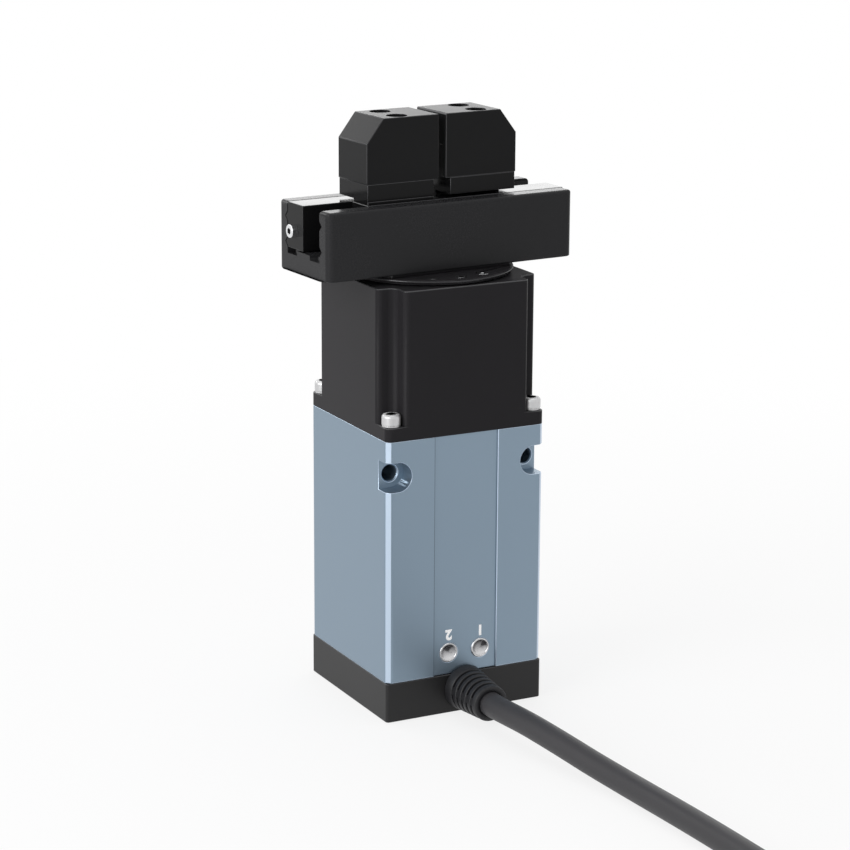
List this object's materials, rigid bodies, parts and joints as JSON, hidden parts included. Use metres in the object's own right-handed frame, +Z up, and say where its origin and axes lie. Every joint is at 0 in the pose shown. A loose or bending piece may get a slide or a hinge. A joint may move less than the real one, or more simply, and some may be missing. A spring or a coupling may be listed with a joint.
{
  "type": "electric two finger gripper",
  "caption": "Square electric gripper with a turning slide rail, parallel fingers driven by a rack and pinion, and a fixed cable with a plug.",
  "frame": {"origin": "centre of the underside of the base cap", "axes": "+Z up to the fingers, -Y to the side with the lights and the cable, +X to the right of that side"},
  "size_m": [0.115, 0.2785, 0.1701],
  "materials": {
    "base_cap": "black anodised, satin",
    "cap_screws": "stainless",
    "body_housing": "blue-grey anodised, fine blasted",
    "status_lenses": "silvered dished lens",
    "lens_rings": "bright metal",
    "control_board": "green solder resist",
    "board_standoffs": "turned brass",
    "grip_motor": "black lacquer",
    "motor_encoder": "black moulded",
    "motor_plate": "milled",
    "plate_screws": "stainless",
    "motor_screws": "stainless",
    "drive_housing": "black anodised, satin",
    "housing_screws": "stainless",
    "housing_washers": "stainless",
    "stator_core": "stacked lamination steel",
    "stator_coils": "enamelled copper wire",
    "bearing_outer_ring": "ground",
    "bearing_clip": "blackened spring steel",
    "angle_reader": "green solder resist",
    "rotor_tube": "turned",
    "rotor_magnets": "nickel plated",
    "bearing_inner_ring": "ground",
    "bearing_balls": "polished",
    "code_disc": "etched glass",
    "table_hub": "black anodised",
    "hub_screws": "stainless",
    "output_disc": "black anodised, turned",
    "disc_screws": "stainless",
    "rail_housing": "black anodised, satin",
    "rail_screws": "stainless",
    "stop_screws": "stainless",
    "shaft_bush": "sintered bronze",
    "motor_shaft": "ground",
    "shaft_coupling": "turned",
    "drive_shaft": "ground",
    "drive_pinion": "hobbed",
    "left_slider": "black anodised, satin",
    "left_finger": "black anodised, satin",
    "left_finger_screws": "stainless",
    "left_end_screw": "stainless",
    "right_slider": "black anodised, satin",
    "right_finger": "black anodised, satin",
    "right_finger_screws": "stainless",
    "right_end_screw": "stainless",
    "cable_gland": "moulded",
    "cable": "satin jacket",
    "cable_coil": "satin jacket",
    "cable_plug": "moulded"
  },
  "bodies": {
    "body": {"base_cap": "base_cap", "cap_screws": "cap_screws", "body_housing": "body_housing", "status_lenses": "status_lenses", "lens_rings": "lens_rings", "control_board": "control_board", "board_standoffs": "board_standoffs", "grip_motor": "grip_motor", "motor_encoder": "motor_encoder", "motor_plate": "motor_plate", "plate_screws": "plate_screws", "motor_screws": "motor_screws", "drive_housing": "drive_housing", "housing_screws": "housing_screws", "housing_washers": "housing_washers", "stator_core": "stator_core", "stator_coils": "stator_coils", "bearing_outer_ring": "bearing_outer_ring", "bearing_clip": "bearing_clip", "angle_reader": "angle_reader", "cable_gland": "cable_gland", "cable": "cable", "cable_coil": "cable_coil", "cable_plug": "cable_plug"},
    "head": {"rotor_tube": "rotor_tube", "rotor_magnets": "rotor_magnets", "bearing_inner_ring": "bearing_inner_ring", "bearing_balls": "bearing_balls", "code_disc": "code_disc", "table_hub": "table_hub", "hub_screws": "hub_screws", "output_disc": "output_disc", "disc_screws": "disc_screws", "rail_housing": "rail_housing", "rail_screws": "rail_screws", "stop_screws": "stop_screws", "shaft_bush": "shaft_bush"},
    "left_jaw": {"left_slider": "left_slider", "left_finger": "left_finger", "left_finger_screws": "left_finger_screws", "left_end_screw": "left_end_screw"},
    "right_jaw": {"right_slider": "right_slider", "right_finger": "right_finger", "right_finger_screws": "right_finger_screws", "right_end_screw": "right_end_screw"},
    "pinion": {"drive_pinion": "drive_pinion", "drive_shaft": "drive_shaft", "shaft_coupling": "shaft_coupling", "motor_shaft": "motor_shaft"}
  },
  "joints": [
    {"name": "head_turn", "type": "hinge", "parent": "body", "child": "head", "pos_m": [0, 0, 0.12475], "axis": [0, 0, 1], "continuous": true},
    {"name": "left_jaw_slide", "type": "slide", "parent": "head", "child": "left_jaw", "axis": [-0.9978, -0.0663, 0], "range_m": [-0.0009, 0.0141]},
    {"name": "right_jaw_slide", "type": "slide", "parent": "head", "child": "right_jaw", "axis": [0.9978, 0.0663, 0], "range_m": [-0.0009, 0.0141]},
    {"name": "pinion_turn", "type": "hinge", "parent": "head", "child": "pinion", "pos_m": [0, 0, 0.1365], "axis": [0, 0, 1], "range_deg": [-193, 13]}
  ],
  "couplings": [
    {"joint": "right_jaw_slide", "follows": "left_jaw_slide", "ratio": 1},
    {"joint": "pinion_turn", "follows": "left_jaw_slide", "rad_per_m": -238.1}
  ]
}
